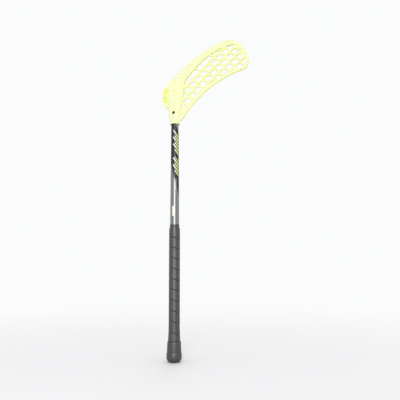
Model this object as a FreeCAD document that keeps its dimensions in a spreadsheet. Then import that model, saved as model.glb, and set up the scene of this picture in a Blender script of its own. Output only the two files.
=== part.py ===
"""A junior floorball stick: tapered tube shaft, moulded lattice blade, wound grip and butt cap.

Frame: millimetres, +Z up the shaft from the butt to the blade, origin at the middle of the
butt's flat underside. The blade reaches towards +X and its backhand side faces -Y.
"""
import FreeCAD, Part
import math
import os
import Sketcher
from FreeCAD import Placement, Rotation, Vector

# Driving dimensions, in millimetres and degrees
DIMENSIONS = [
    # shaft
    ("shaft_length", 650.0),
    ("shaft_grip_od", 24.0),
    ("shaft_tip_od", 20.0),
    ("shaft_wall", 1.5),
    # butt cap
    ("cap_floor", 6.0),
    ("cap_foot_od", 38.6),
    ("cap_foot_height", 24.0),
    ("cap_foot_rounding", 10.5),
    ("cap_shoulder_start", 17.0),
    ("cap_shoulder_od", 37.0),
    ("cap_collar_low_od", 36.6),
    ("cap_collar_high_od", 34.0),
    ("cap_collar_top", 46.5),
    ("cap_lip_od", 31.0),
    ("cap_height", 51.0),
    ("cap_clearance", 0.1),
    # wound grip
    ("grip_length", 281.0),
    ("grip_od", 28.0),
    ("grip_flare_od", 30.4),
    ("grip_flare_height", 30.0),
    ("grip_clearance", 0.1),
    ("grip_pitch", 26.3),
    ("grip_seam", 0.7),
    ("grip_seam_phase", 14.2),
    # tape band above the grip
    ("band_height", 9.0),
    ("band_thickness", 0.45),
    ("band_clearance", 0.05),
    # blade socket and neck, heights above the socket's mouth
    ("socket_depth", 45.5),
    ("socket_clearance", 0.06),
    ("socket_end_gap", 0.5),
    ("socket_mouth_od", 27.4),
    ("socket_lip", 0.8),
    ("socket_lip_height", 5.0),
    ("neck_screw_width", 34.0),
    ("neck_screw_depth", 27.6),
    ("neck_root_height", 50.0),
    ("neck_root_width", 40.0),
    ("neck_root_depth", 25.0),
    ("neck_shoulder_height", 90.0),
    ("neck_shoulder_width", 48.0),
    ("neck_shoulder_depth", 17.0),
    ("neck_tip_height", 130.0),
    ("neck_tip_width", 36.0),
    ("neck_tip_depth", 10.0),
    ("neck_tip_shift", 8.0),
    # screw
    ("screw_height", 30.0),
    ("screw_head_od", 7.0),
    ("screw_head_height", 2.6),
    ("screw_head_dome", 1.2),
    ("screw_shank_od", 3.4),
    ("screw_shank_length", 9.0),
    ("screw_sink", 1.6),
    ("screw_clearance", 0.1),
    # blade face, along its length from the shaft axis and across it towards the sole
    ("lie_angle", 38.0),
    ("hook_start", 46.4),
    ("hook_radius", 1000.0),
    ("neck_web_along", -17.0),
    ("neck_web_across", -41.0),
    ("top_edge_along", 110.0),
    ("top_edge_across", -7.0),
    ("top_edge_radius", 320.0),
    ("toe_low_along", 228.0),
    ("toe_low_across", -41.0),
    ("toe_low_radius", 26.0),
    ("toe_end_along", 250.0),
    ("toe_end_across", 15.0),
    ("toe_end_radius", 48.0),
    ("toe_high_along", 242.0),
    ("toe_high_across", 66.0),
    ("toe_high_radius", 42.0),
    ("sole_along", 118.0),
    ("sole_across", 79.5),
    ("sole_radius", 480.0),
    ("heel_along", -5.0),
    ("heel_across", 63.0),
    ("heel_radius", 44.0),
    ("heel_low_along", -21.0),
    ("heel_low_across", 22.0),
    ("heel_low_radius", 8.0),
    ("heel_root_along", -12.0),
    ("heel_root_across", 4.0),
    # blade thickness, from the forehand face
    ("forehand_offset", 6.0),
    ("web_thickness", 8.0),
    ("rim_thickness", 10.5),
    ("rim_width", 7.0),
    ("spine_thickness", 12.0),
    # inner edge of the spine, in the same directions as the outline
    ("spine_root_along", -2.0),
    ("spine_root_across", -28.0),
    ("spine_bend_along", 69.0),
    ("spine_bend_across", 44.0),
    ("spine_bend_radius", 45.0),
    ("spine_crest_along", 146.0),
    ("spine_crest_across", 60.5),
    ("spine_crest_radius", 200.0),
    ("spine_toe_along", 206.0),
    ("spine_toe_across", 54.5),
    ("spine_toe_radius", 60.0),
    ("spine_end_along", 256.0),
    ("spine_end_across", 34.0),
    # lattice
    ("rail_angle", 9.0),
    ("rail_offset", 17.8),
    ("rail_pitch", 20.2),
    ("rail_width", 5.0),
    ("rung_pitch", 21.0),
    ("rung_width", 4.2),
    ("rung_slant", 22.0),
    ("long_slot_pitch", 54.6),
    ("long_slot_phase", 22.0),
    ("window_chamfer", 2.4),
    ("window_overlap", 3.0),
    ("window_least_width", 10.0),
    # cored-out heel, angles round the heel's own curve
    ("heel_wall", 4.5),
    ("heel_core_width", 10.0),
    ("heel_core_floor", 6.0),
    ("heel_core_start", 106.0),
    ("heel_core_end", 174.0),
    ("heel_core_rib", 6.0),
]

doc = FreeCAD.newDocument("floorball_stick")
dims = doc.addObject("Spreadsheet::Sheet", "dims")
for row, (name, value) in enumerate(DIMENSIONS, start=1):
    dims.set("A%d" % row, name)
    dims.set("B%d" % row, str(value))
    dims.setAlias("B%d" % row, name)
doc.recompute()


def size(name):
    """A driving dimension as a plain number."""
    return float(dims.get(name))


# Heights and radii that several pieces share, as expressions on the sheet
GRIP_TOP = "(dims.cap_height + dims.grip_length)"
SHAFT_TOP = "(dims.cap_floor + dims.shaft_length)"
MOUTH = "(dims.cap_floor + dims.shaft_length - dims.socket_depth)"
GRIP_RADIUS = "dims.shaft_grip_od / 2"
TIP_RADIUS = "dims.shaft_tip_od / 2"
TAPER = "((dims.shaft_grip_od - dims.shaft_tip_od) / 2 / (%s - %s))" % (SHAFT_TOP, GRIP_TOP)
MOUTH_RADIUS = "(%s + %s * dims.socket_depth)" % (TIP_RADIUS, TAPER)
SCREW_SEAT = "(dims.neck_screw_depth / 2 - dims.screw_sink)"

# The mouth of the socket as a number, for shapes that are worked out point by point
mouth = size("cap_floor") + size("shaft_length") - size("socket_depth")


def new_body(name):
    body = doc.addObject("PartDesign::Body", name)
    body.Label = name
    return body


def new_sketch(body, name, role):
    """A sketch on one of the body's own origin planes."""
    sketch = body.newObject("Sketcher::SketchObject", name)
    plane = [feature for feature in body.Origin.OriginFeatures if feature.Role == role][0]
    sketch.AttachmentSupport = [(plane, "")]
    sketch.MapMode = "FlatFace"
    return sketch


ORIGIN, HORIZONTAL_AXIS, VERTICAL_AXIS = -1, -1, -2
START, END, CENTRE = 1, 2, 3


def bound_profile(sketch, corners):
    """A closed run of lines whose corners are expressions on the sheet ("0" lies on the axis)."""
    count = len(corners)
    seed_centre, seed_radius = 100.0, 50.0
    seeds = []
    for index in range(count):
        angle = 2 * math.pi * index / count
        seeds.append(Vector(seed_centre + seed_radius * math.cos(angle),
                            seed_centre + seed_radius * math.sin(angle), 0))
    for index in range(count):
        sketch.addGeometry(Part.LineSegment(seeds[index], seeds[(index + 1) % count]), False)
    for index in range(count):
        following = (index + 1) % count
        sketch.addConstraint(Sketcher.Constraint("Coincident", index, END, following, START))
    for index, (across, along) in enumerate(corners):
        place_point(sketch, index, START, across, along, seeds[index])


def place_point(sketch, geometry, point, across, along, seed):
    """Ties one point of a sketch to two expressions on the sheet."""
    for kind, axis, text, start in (("DistanceX", VERTICAL_AXIS, across, seed.x),
                                    ("DistanceY", HORIZONTAL_AXIS, along, seed.y)):
        if text == "0":
            sketch.addConstraint(Sketcher.Constraint("PointOnObject", geometry, point, axis))
        else:
            bound = Sketcher.Constraint(kind, ORIGIN, START, geometry, point, start)
            sketch.setExpression("Constraints[%d]" % sketch.addConstraint(bound), text)


def bound_circle(sketch, across, along, diameter):
    seed = Vector(0, mouth, 0)
    circle = sketch.addGeometry(Part.Circle(seed, Vector(0, 0, 1), 1), False)
    place_point(sketch, circle, CENTRE, across, along, seed)
    bound = sketch.addConstraint(Sketcher.Constraint("Diameter", circle, 2))
    sketch.setExpression("Constraints[%d]" % bound, diameter)


def revolved(body, name, corners):
    """A turned piece about the Z axis, from corners given as (radius, height)."""
    sketch = new_sketch(body, name + "_profile", "XZ_Plane")
    bound_profile(sketch, corners)
    turn = body.newObject("PartDesign::Revolution", name)
    turn.Profile = sketch
    turn.ReferenceAxis = (sketch, ["V_Axis"])
    turn.Angle = 360
    return turn


# Shaft: a composite tube, straight under the grip and tapered from there to the blade
shaft = new_body("shaft_tube")
tube = revolved(shaft, "tube", [
    (GRIP_RADIUS, "dims.cap_floor"),
    (GRIP_RADIUS, GRIP_TOP),
    (TIP_RADIUS, SHAFT_TOP),
    (TIP_RADIUS + " - dims.shaft_wall", SHAFT_TOP),
    (GRIP_RADIUS + " - dims.shaft_wall", GRIP_TOP),
    (GRIP_RADIUS + " - dims.shaft_wall", "dims.cap_floor"),
])
doc.recompute()
pilot_sketch = new_sketch(shaft, "pilot_sketch", "XZ_Plane")
SCREW_HOLE = "dims.screw_shank_od + 2 * dims.screw_clearance"
bound_circle(pilot_sketch, "0", MOUTH + " + dims.screw_height", SCREW_HOLE)
pilot = shaft.newObject("PartDesign::Pocket", "pilot")
pilot.Profile = pilot_sketch
pilot.Reversed = True
pilot.setExpression("Length", "dims.shaft_grip_od")
doc.recompute()
screw_level = mouth + size("screw_height")
front_wall = Vector(0, -(size("shaft_tip_od") - size("shaft_wall")) / 2, screw_level)
if pilot.Shape.isInside(front_wall, 0.01, True) or pilot.Shape.Volume >= tube.Shape.Volume:
    raise RuntimeError("the pilot hole misses the front wall of the shaft")

# Butt cap: a rubber cup with a rounded foot, a tapered collar and a lip that the tape runs up to.
# The foot's rounding is two flats that meet at the middle of its arc.
cap = new_body("end_cap")
CAP_BORE = GRIP_RADIUS + " + dims.cap_clearance"
ARC_MIDDLE = "dims.cap_foot_rounding * (1 - sqrt(0.5))"
revolved(cap, "cup", [
    ("0", "0"),
    ("dims.cap_foot_od / 2 - dims.cap_foot_rounding", "0"),
    ("dims.cap_foot_od / 2 - " + ARC_MIDDLE, ARC_MIDDLE),
    ("dims.cap_foot_od / 2", "dims.cap_foot_rounding"),
    ("dims.cap_foot_od / 2", "dims.cap_shoulder_start"),
    ("dims.cap_shoulder_od / 2", "dims.cap_foot_height"),
    ("dims.cap_collar_low_od / 2", "dims.cap_foot_height"),
    ("dims.cap_collar_high_od / 2", "dims.cap_collar_top"),
    ("dims.cap_lip_od / 2", "dims.cap_height"),
    (CAP_BORE, "dims.cap_height"),
    (CAP_BORE, "dims.cap_floor"),
    ("0", "dims.cap_floor"),
])

# Grip: one strip of tape, wound left-handed; a sleeve parted along a helix from end to end
grip = new_body("grip_tape")
GRIP_BORE = GRIP_RADIUS + " + dims.grip_clearance"
revolved(grip, "sleeve", [
    (GRIP_BORE, "dims.cap_height"),
    ("dims.grip_flare_od / 2", "dims.cap_height"),
    ("dims.grip_od / 2", "dims.cap_height + dims.grip_flare_height"),
    ("dims.grip_od / 2", GRIP_TOP),
    (GRIP_BORE, GRIP_TOP),
])
SEAM_START = "dims.cap_height + dims.grip_seam_phase - 2 * dims.grip_pitch"
seam_sketch = new_sketch(grip, "seam_section", "XZ_Plane")
SEAM_INNER = GRIP_RADIUS + " - dims.shaft_wall"
SEAM_OUTER = "dims.grip_flare_od / 2 + dims.shaft_wall"
bound_profile(seam_sketch, [
    (SEAM_INNER, SEAM_START),
    (SEAM_OUTER, SEAM_START),
    (SEAM_OUTER, SEAM_START + " + dims.grip_seam"),
    (SEAM_INNER, SEAM_START + " + dims.grip_seam"),
])
doc.recompute()
seam = grip.newObject("PartDesign::SubtractiveHelix", "seam")
seam.Profile = seam_sketch
seam.ReferenceAxis = (seam_sketch, ["V_Axis"])
seam.Mode = "pitch-height-angle"
seam.LeftHanded = True
seam.setExpression("Pitch", "dims.grip_pitch")
seam.setExpression("Height", "dims.grip_length + 4 * dims.grip_pitch")
doc.recompute()


def least_gap_between_turns(strip):
    """Least clear distance across the seam, from points along the strip's helical edges."""
    pitch = size("grip_pitch")
    middle = size("cap_height") + size("grip_seam_phase") + size("grip_seam") / 2
    lead = math.atan2(pitch, math.pi * size("shaft_grip_od"))
    points_per_edge = 200
    below, above = [], []
    for edge in strip.Edges:
        if edge.BoundBox.ZLength < pitch / 8:
            continue
        for point in edge.discretize(points_per_edge):
            turned = pitch * math.atan2(point.y, point.x) / (2 * math.pi)
            offset = (point.z + turned - middle + pitch / 2) % pitch - pitch / 2
            if abs(offset) < pitch / 4:
                (above if offset > 0 else below).append(offset)
    return (min(above) - max(below)) * math.cos(lead)


print("grip solids", len(grip.Shape.Solids), "valid", grip.Shape.isValid())
print("least gap between the turns of the grip: %.2f mm" % least_gap_between_turns(grip.Shape))

# Tape band that holds down the upper end of the grip
band = new_body("finishing_tape")
BAND_BORE = GRIP_RADIUS + " + dims.band_clearance"
revolved(band, "band", [
    (BAND_BORE, GRIP_TOP),
    (BAND_BORE + " + dims.band_thickness", GRIP_TOP),
    (BAND_BORE + " + dims.band_thickness", GRIP_TOP + " + dims.band_height"),
    (BAND_BORE, GRIP_TOP + " + dims.band_height"),
])

# Screw: turned about Z with its tip up, then laid along Y so that it enters the socket from the front
screw = new_body("blade_screw")
revolved(screw, "pan_head_screw", [
    ("0", "-dims.screw_head_height"),
    ("dims.screw_head_od / 2 - dims.screw_head_dome", "-dims.screw_head_height"),
    ("dims.screw_head_od / 2", "-dims.screw_head_height + dims.screw_head_dome"),
    ("dims.screw_head_od / 2", "0"),
    ("dims.screw_shank_od / 2", "0"),
    ("dims.screw_shank_od / 2", "dims.screw_shank_length"),
    ("0", "dims.screw_shank_length"),
])
screw_seat = size("neck_screw_depth") / 2 - size("screw_sink")
quarter_turn = 90
screw.Placement = Placement(Vector(0, -screw_seat, screw_level), Rotation(Vector(1, 0, 0), -quarter_turn))


# Blade: plan shapes are drawn flat, along the blade and across it, and cut from hooked slabs
def corner(name):
    """A corner of a plan shape: where it lies along and across the blade, and its rounding."""
    return Vector(size(name + "_along"), size(name + "_across"), 0), size(name + "_radius")


def sharp(name):
    return Vector(size(name + "_along"), size(name + "_across"), 0), 0.0


OUTLINE = [
    sharp("neck_web"),
    corner("top_edge"),
    corner("toe_low"),
    corner("toe_end"),
    corner("toe_high"),
    corner("sole"),
    corner("heel"),
    corner("heel_low"),
    sharp("heel_root"),
]
SPINE_EDGE = [
    sharp("spine_root"),
    corner("spine_bend"),
    corner("spine_crest"),
    corner("spine_toe"),
    sharp("spine_end"),
]


def arc_at(before, here, after, radius):
    """The tangent arc that rounds a corner: its start, middle, end and centre."""
    incoming = (here - before).normalize()
    outgoing = (after - here).normalize()
    half_turn = incoming.getAngle(outgoing) / 2
    reach = radius * math.tan(half_turn)
    inward = (outgoing - incoming).normalize()
    centre = here + inward * (radius / math.cos(half_turn))
    return here - incoming * reach, centre - inward * radius, here + outgoing * reach, centre


def rounded_curves(corners):
    """A closed plan shape as lines and tangent arcs."""
    count = len(corners)
    pieces = []
    for index, (here, radius) in enumerate(corners):
        before, after = corners[index - 1][0], corners[(index + 1) % count][0]
        if radius > 0:
            pieces.append(arc_at(before, here, after, radius)[:3])
        else:
            pieces.append((here, here, here))
    curves = []
    for index, (start, middle, end) in enumerate(pieces):
        if start.distanceToPoint(end) > 0:
            curves.append(Part.Arc(start, middle, end))
        following = pieces[(index + 1) % count][0]
        if end.distanceToPoint(following) > 0.001:
            curves.append(Part.LineSegment(end, following))
    return curves


def left_of(direction):
    return Vector(-direction.y, direction.x, 0)


def inset(corners, distance):
    """The same closed shape, moved in by a distance all round (corners run anticlockwise)."""
    count = len(corners)
    moved = []
    for index, (here, radius) in enumerate(corners):
        incoming = (here - corners[index - 1][0]).normalize()
        outgoing = (corners[(index + 1) % count][0] - here).normalize()
        half_turn = incoming.getAngle(outgoing) / 2
        mitre = (left_of(incoming) + left_of(outgoing)).normalize()
        turns_left = incoming.cross(outgoing).z > 0
        if radius > 0:
            radius = radius - distance if turns_left else radius + distance
        moved.append((here + mitre * (distance / math.cos(half_turn)), radius))
    return moved


lie_turn = Rotation(Vector(0, 1, 0), -size("lie_angle")) * Rotation(Vector(1, 0, 0), quarter_turn)
blade_place = Placement(Vector(0, 0, mouth + size("hook_start")), lie_turn)
PLAN_DEPTH = "4 * dims.heel_across"


def plan_block(name, shapes):
    """Plan shapes padded right through the blade, equally to both sides."""
    body = new_body(name)
    sketch = new_sketch(body, name + "_plan", "XY_Plane")
    for shape in shapes:
        for curve in shape:
            sketch.addGeometry(curve, False)
    pad = body.newObject("PartDesign::Pad", name + "_pad")
    pad.Profile = sketch
    pad.SideType = "Symmetric"
    pad.setExpression("Length", PLAN_DEPTH)
    body.Placement = blade_place
    return body


def hooked_slab(name, low, high):
    """A slab between two depths above the forehand face: flat at the shaft, hooked to the toe."""
    body = new_body(name)
    sketch = new_sketch(body, name + "_section", "XZ_Plane")
    face = -size("forehand_offset")
    bend = size("hook_radius")
    reach = size("toe_end_along") * 1.2
    back = -size("toe_end_along")
    centre = Vector(0, face - bend, 0)

    def on_arc(depth, share):
        angle = math.asin(reach / bend) * share
        return centre + Vector(math.sin(angle), math.cos(angle), 0) * (bend + depth)

    low_start, high_start = Vector(0, face + low, 0), Vector(0, face + high, 0)
    low_back, high_back = Vector(back, face + low, 0), Vector(back, face + high, 0)
    sketch.addGeometry(Part.LineSegment(low_back, low_start), False)
    sketch.addGeometry(Part.Arc(low_start, on_arc(low, 0.5), on_arc(low, 1)), False)
    sketch.addGeometry(Part.LineSegment(on_arc(low, 1), on_arc(high, 1)), False)
    sketch.addGeometry(Part.Arc(on_arc(high, 1), on_arc(high, 0.5), high_start), False)
    sketch.addGeometry(Part.LineSegment(high_start, high_back), False)
    sketch.addGeometry(Part.LineSegment(high_back, low_back), False)
    pad = body.newObject("PartDesign::Pad", name + "_pad")
    pad.Profile = sketch
    pad.SideType = "Symmetric"
    pad.setExpression("Length", PLAN_DEPTH)
    body.Placement = blade_place
    return body


def boolean(kind, name, pieces):
    """A boolean of two or more objects; the first is the base of a cut."""
    if kind == "Cut":
        result = doc.addObject("Part::Cut", name)
        result.Base, result.Tool = pieces
    else:
        result = doc.addObject("Part::Multi" + kind, name)
        result.Shapes = pieces
    result.Label = name
    return result


# Lattice windows: cells between rails and rungs, clipped a little inside the spine and the rim,
# which are added later and so bound the windows with their own walls
def clipped(polygon, point, outward):
    """The part of a convex polygon on the inner side of a line."""
    kept = []
    for index, here in enumerate(polygon):
        before = polygon[index - 1]
        here_out, before_out = (here - point).dot(outward), (before - point).dot(outward)
        if (here_out > 0) != (before_out > 0):
            kept.append(before + (here - before) * (before_out / (before_out - here_out)))
        if here_out <= 0:
            kept.append(here)
    return kept


def border_lines(corners, region_left):
    """Lines just outside a convex border: along its straight edges and at each rounding's middle."""
    lines = []
    side = -1 if region_left else 1
    for index in range(1, len(corners)):
        before, here = corners[index - 1][0], corners[index][0]
        lines.append((here, left_of((here - before).normalize()) * side))
        if index + 1 < len(corners) and corners[index][1] > 0:
            middle, centre = arc_at(before, here, corners[index + 1][0], corners[index][1])[1::2]
            lines.append((middle, (middle - centre).normalize()))
    return [(point + outward * size("window_overlap"), outward) for point, outward in lines]


def top_edge_line(place):
    """A line inside the rim at the blade's concave top edge, nearest to a place on the lattice."""
    (before, _), (here, radius), (after, _) = OUTLINE[0:3]
    start, _, end, centre = arc_at(before, here, after, radius)
    first, last = math.atan2(*(start - centre)[1::-1]), math.atan2(*(end - centre)[1::-1])
    angle = math.atan2(*(place - centre)[1::-1])
    angle = max(min(angle, max(first, last)), min(first, last))
    outward = Vector(-math.cos(angle), -math.sin(angle), 0)
    return centre - outward * (radius + size("rim_width") - size("window_overlap")), outward


def area_and_girth(polygon):
    area = girth = 0.0
    for index, here in enumerate(polygon):
        before = polygon[index - 1]
        area += (before.x * here.y - here.x * before.y) / 2
        girth += before.distanceToPoint(here)
    return area, girth


def without_short_sides(polygon, least):
    """A polygon whose corners that lie closer than a least distance are drawn together."""
    kept = []
    for here in polygon:
        if not kept or here.distanceToPoint(kept[-1]) >= least:
            kept.append(here)
    if kept and kept[0].distanceToPoint(kept[-1]) < least:
        kept.pop()
    return kept


def window(polygon):
    """A window's outline, with its corners cut off by a share of their sides at most."""
    corners = []
    side_share = 0.35
    for index, here in enumerate(polygon):
        for neighbour in (polygon[index - 1], polygon[(index + 1) % len(polygon)]):
            reach = min(size("window_chamfer"), side_share * here.distanceToPoint(neighbour))
            corners.append((here + (neighbour - here).normalize() * reach, 0.0))
    return rounded_curves(corners)


def lattice_windows():
    rail_turn = math.radians(size("rail_angle"))
    along = Vector(math.cos(rail_turn), math.sin(rail_turn), 0)
    across = left_of(along)
    lean = math.tan(math.radians(size("rung_slant")))
    rim_side = border_lines(inset(OUTLINE, size("rim_width"))[2:6], True)
    spine_side = border_lines(SPINE_EDGE, False)
    pitch, rail, rung = size("rail_pitch"), size("rail_width") / 2, size("rung_width") / 2
    windows = []
    row_count = 6
    for number in range(row_count):
        low = size("rail_offset") - pitch * number + rail
        high = low + pitch - 2 * rail
        step, first = size("rung_pitch"), size("rung_pitch") / 2 * (number % 2)
        if number == 0:
            high = size("sole_across")
            step, first = size("long_slot_pitch"), size("long_slot_phase")
        for cell in range(-2, int(size("toe_end_along") / step) + 2):
            begin, finish = first + step * cell + rung, first + step * (cell + 1) - rung
            middle = along * ((begin + finish) / 2) + across * ((low + low + pitch) / 2)
            slide_low, slide_high = low * lean, high * lean
            polygon = [along * (begin - slide_low) + across * low,
                       along * (finish - slide_low) + across * low,
                       along * (finish - slide_high) + across * high,
                       along * (begin - slide_high) + across * high]
            for point, outward in rim_side + spine_side + [top_edge_line(middle)]:
                polygon = clipped(polygon, point, outward)
            polygon = without_short_sides(polygon, size("rung_width") / 2)
            if len(polygon) < 3:
                continue
            area, girth = area_and_girth(polygon)
            if 4 * area / girth >= size("window_least_width"):
                windows.append(window(polygon))
    return windows


def heel_cores():
    """Two curved pockets along the heel, with a rib between them."""
    (before, _), (here, radius), (after, _) = OUTLINE[5:8]
    centre = arc_at(before, here, after, radius)[3]
    outer = radius - size("heel_wall")
    inner = outer - size("heel_core_width")
    start, end, rib = size("heel_core_start"), size("heel_core_end"), size("heel_core_rib")
    middle = (start + end) / 2

    def at(distance, degrees):
        angle = math.radians(degrees)
        return centre + Vector(math.cos(angle), math.sin(angle), 0) * distance

    pockets = []
    for first, last in ((start, middle - rib / 2), (middle + rib / 2, end)):
        half = (first + last) / 2
        pockets.append([
            Part.Arc(at(outer, first), at(outer, half), at(outer, last)),
            Part.LineSegment(at(outer, last), at(inner, last)),
            Part.Arc(at(inner, last), at(inner, half), at(inner, first)),
            Part.LineSegment(at(inner, first), at(outer, first)),
        ])
    return pockets


far = 2 * size("toe_end_along")
spine_area = SPINE_EDGE + [(Vector(far, size("spine_end_across"), 0), 0.0), (Vector(far, far, 0), 0.0),
                           (Vector(-far, far, 0), 0.0), (Vector(-far, size("spine_root_across"), 0), 0.0)]
windows = lattice_windows()
print("lattice windows", len(windows))

outline_block = plan_block("outline_block", [rounded_curves(OUTLINE)])
inside_block = plan_block("inside_block", [rounded_curves(inset(OUTLINE, size("rim_width")))])
spine_block = plan_block("spine_block", [rounded_curves(spine_area)])
window_block = plan_block("window_block", windows)
core_block = plan_block("core_block", heel_cores())

web_slab = hooked_slab("web_slab", 0, size("web_thickness"))
rim_slab = hooked_slab("rim_slab", 0, size("rim_thickness"))
spine_slab = hooked_slab("spine_slab", 0, size("spine_thickness"))
core_slab = hooked_slab("core_slab", size("heel_core_floor"), 2 * size("spine_thickness"))
doc.recompute()

web_plate = boolean("Common", "web_plate", [outline_block, web_slab])
web = boolean("Cut", "web", [web_plate, window_block])
rim_ring = boolean("Cut", "rim_ring", [outline_block, inside_block])
rim = boolean("Common", "rim", [rim_ring, rim_slab])
spine = boolean("Common", "spine", [outline_block, spine_block, spine_slab])
heel_core = boolean("Common", "heel_core", [core_block, core_slab])

# Neck and socket: a ruled loft from the round mouth to the flat spine
neck = new_body("neck")
ARC_JOIN = math.radians(65)


def oval(width, depth):
    """An oval of four tangent arcs: two round the ends of its width and two along its sides."""
    half_width, half_depth = width / 2, depth / 2
    sine, cosine = math.sin(ARC_JOIN), math.cos(ARC_JOIN)
    end_radius = (cosine * half_depth - (1 - sine) * half_width) / (cosine + sine - 1)
    across, along = half_width - end_radius * (1 - cosine), end_radius * sine
    right_low, right_high = Vector(across, -along, 0), Vector(across, along, 0)
    left_high, left_low = Vector(-across, along, 0), Vector(-across, -along, 0)
    return [
        Part.Arc(right_low, Vector(half_width, 0, 0), right_high),
        Part.Arc(right_high, Vector(0, half_depth, 0), left_high),
        Part.Arc(left_high, Vector(-half_width, 0, 0), left_low),
        Part.Arc(left_low, Vector(0, -half_depth, 0), right_low),
    ]


def neck_section(name, height, width, depth, shift="0"):
    sketch = new_sketch(neck, name, "XY_Plane")
    sketch.setExpression("AttachmentOffset.Base.z", MOUTH + " + " + height)
    sketch.setExpression("AttachmentOffset.Base.x", shift)
    for arc in oval(width, depth):
        sketch.addGeometry(arc, False)
    return sketch


mouth_section = neck_section("mouth_section", "0", size("socket_mouth_od"), size("socket_mouth_od"))
neck_loft = neck.newObject("PartDesign::AdditiveLoft", "neck_loft")
neck_loft.Profile = mouth_section
neck_loft.Sections = [
    neck_section("screw_section", "dims.screw_height", size("neck_screw_width"), size("neck_screw_depth")),
    neck_section("root_section", "dims.neck_root_height", size("neck_root_width"), size("neck_root_depth")),
    neck_section("shoulder_section", "dims.neck_shoulder_height",
                 size("neck_shoulder_width"), size("neck_shoulder_depth")),
    neck_section("tip_section", "dims.neck_tip_height", size("neck_tip_width"), size("neck_tip_depth"),
                 "dims.neck_tip_shift"),
]
neck_loft.Ruled = True

lip = new_body("lip")
LIP_RADIUS = "dims.socket_mouth_od / 2 + dims.socket_lip"
revolved(lip, "lip_ring", [
    (MOUTH_RADIUS, MOUTH),
    (LIP_RADIUS, MOUTH),
    (LIP_RADIUS, MOUTH + " + dims.socket_lip_height"),
    (MOUTH_RADIUS, MOUTH + " + dims.socket_lip_height"),
])

bore = new_body("bore")
revolved(bore, "bore_cone", [
    ("0", MOUTH),
    (MOUTH_RADIUS + " + dims.socket_clearance", MOUTH),
    (TIP_RADIUS + " + dims.socket_clearance", SHAFT_TOP),
    (TIP_RADIUS + " + dims.socket_clearance", SHAFT_TOP + " + dims.socket_end_gap"),
    ("0", SHAFT_TOP + " + dims.socket_end_gap"),
])

screw_bore = new_body("screw_bore")
HEAD_BORE = "dims.screw_head_od / 2 + dims.screw_clearance"
SHANK_BORE = "dims.screw_shank_od / 2 + dims.screw_clearance"
revolved(screw_bore, "screw_counterbore", [
    ("0", "-2 * dims.screw_head_height"),
    (HEAD_BORE, "-2 * dims.screw_head_height"),
    (HEAD_BORE, "0"),
    (SHANK_BORE, "0"),
    (SHANK_BORE, SCREW_SEAT),
    ("0", SCREW_SEAT),
])
screw_bore.Placement = screw.Placement

blade_body = boolean("Fuse", "blade_body", [web, rim, spine, neck, lip])
blade_cored = boolean("Cut", "blade_cored", [blade_body, heel_core])
blade_bored = boolean("Cut", "blade_bored", [blade_cored, bore])
blade = boolean("Cut", "blade", [blade_bored, screw_bore])
doc.recompute()

PIECES = [blade, screw, shaft, band, grip, cap]
for item in doc.Objects:
    if "Invalid" in item.State or "Error" in item.State:
        raise RuntimeError("%s did not build: %s" % (item.Label, item.State))
for piece in PIECES:
    if piece.Shape.isNull() or not piece.Shape.isValid() or len(piece.Shape.Solids) != 1:
        raise RuntimeError("%s is not one sound solid" % piece.Label)

os.makedirs("parts", exist_ok=True)
for piece in PIECES:
    piece.Shape.exportStep("parts/%s.step" % piece.Label)
    box = piece.Shape.BoundBox
    print("%-15s %9.1f mm3, from (%.1f %.1f %.1f) to (%.1f %.1f %.1f)" % (
        piece.Label, piece.Shape.Volume, box.XMin, box.YMin, box.ZMin, box.XMax, box.YMax, box.ZMax))
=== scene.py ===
# %% [markdown]
# # A floorball stick, dressed on its CAD frame
#
# The CAD model gives every size and place of this stick. This lesson keeps that frame where it
# is and makes its looks: the softly rounded lattice blade, the lacquered shaft with its printed
# dashes, the wound grip and the rubber butt. Lengths are metres, +Z runs up the shaft from the
# butt to the blade, and the blade reaches towards +X.

# %% Load the frame
import math

import bpy
from mathutils import Matrix, Vector


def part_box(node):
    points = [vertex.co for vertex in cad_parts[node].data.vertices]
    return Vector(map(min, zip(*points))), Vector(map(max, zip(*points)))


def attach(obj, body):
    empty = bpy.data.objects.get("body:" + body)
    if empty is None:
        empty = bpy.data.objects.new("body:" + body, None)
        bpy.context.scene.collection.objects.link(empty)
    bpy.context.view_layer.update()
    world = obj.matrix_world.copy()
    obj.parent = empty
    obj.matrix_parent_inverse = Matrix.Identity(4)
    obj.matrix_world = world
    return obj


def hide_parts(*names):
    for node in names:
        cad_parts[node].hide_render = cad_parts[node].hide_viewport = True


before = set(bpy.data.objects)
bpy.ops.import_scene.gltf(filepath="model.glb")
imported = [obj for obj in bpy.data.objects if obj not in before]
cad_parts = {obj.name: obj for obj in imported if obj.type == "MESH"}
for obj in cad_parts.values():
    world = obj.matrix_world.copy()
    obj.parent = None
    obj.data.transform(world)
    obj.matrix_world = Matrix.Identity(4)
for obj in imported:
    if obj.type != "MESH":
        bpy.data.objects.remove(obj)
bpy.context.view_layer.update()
MM = 0.001
for node_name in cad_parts:
    lowest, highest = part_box(node_name)
    print(node_name, "stands from", round(lowest[2] / MM, 1), "to", round(highest[2] / MM, 1), "mm")

# %% [markdown]
# ## Camera
#
# The picture is square. It was taken from a little to the right of the blade's backhand side by
# a camera held level, while the stick leaned back. The stick could be tipped instead, but its
# frame has to stay where it is, so the camera looks up. A 36 mm lens on a 36 mm sensor gives the
# narrowing towards the blade that the picture has.

# %% Camera
CAMERA_AZIMUTH = math.radians(14)
CAMERA_LOOKS_UP = math.radians(8)
CAMERA_ROLL = math.radians(-0.29)
CAMERA_DISTANCE = 1.05
AIM_HEIGHT = 0.4055
AXIS_LEFT_OF_MIDDLE = 0.0664
SENSOR_IN_MM = 36
LENS_IN_MM = 36

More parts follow.
